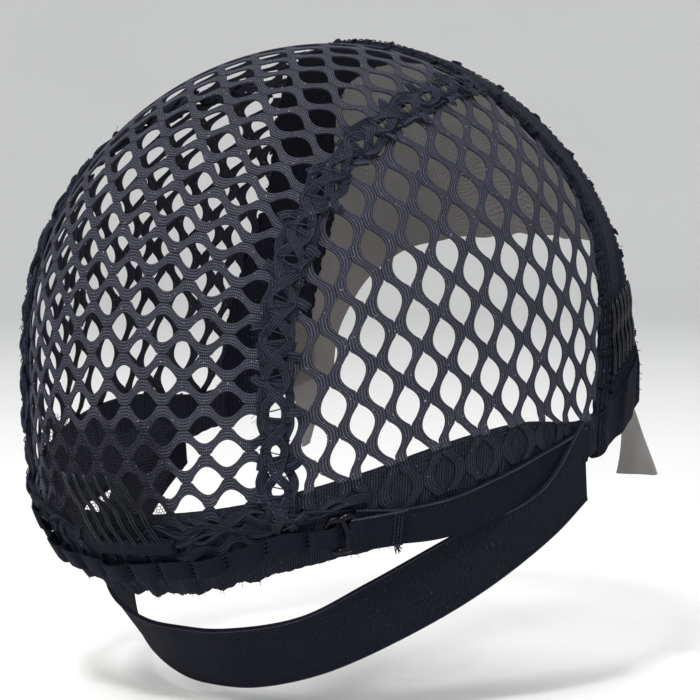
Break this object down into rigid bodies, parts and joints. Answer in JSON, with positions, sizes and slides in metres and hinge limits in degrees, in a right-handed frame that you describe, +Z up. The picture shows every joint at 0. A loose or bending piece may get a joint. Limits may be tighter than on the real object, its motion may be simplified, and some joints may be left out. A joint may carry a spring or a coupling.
{
  "type": "lace closure wig cap",
  "caption": "Net wig cap in its worn shape, with a lace closure over the forehead, bulky seams, hooked back straps, a neck elastic and combs, made to carry hair on a head.",
  "frame": {"origin": "inside of the crown, at the top of the cap's inner face, where it sits on a head", "axes": "+Z up, -Y towards the face, -X towards the wearer's right"},
  "size_m": [0.1618, 0.1801, 0.1789],
  "materials": {
    "net": "ribbed knit ribbons, navy black, faint sheen",
    "seam": "overlocked thread over gathered net",
    "band": "black stretch knit",
    "ribbon": "black ribbon, slight sheen",
    "lace": "sheer brown lace",
    "tulle": "black hexagonal tulle",
    "elastic": "matte woven elastic with fine cross ribs",
    "hook": "moulded black plastic",
    "comb": "black coated steel wire"
  },
  "bodies": {
    "root": {"crown_net": "net", "side_net_right": "net", "side_net_left": "net", "crown_seam_right": "seam", "crown_seam_left": "seam", "front_band": "band", "lace_closure": "lace", "hem_band": "band", "loop_tape": "ribbon", "strap_right": "elastic", "strap_left": "elastic", "strap_hook_right": "hook", "strap_hook_left": "hook", "neck_elastic": "elastic", "nape_comb": "comb", "comb_lace": "tulle", "temple_comb_right": "comb", "temple_comb_left": "comb"}
  },
  "joints": []
}
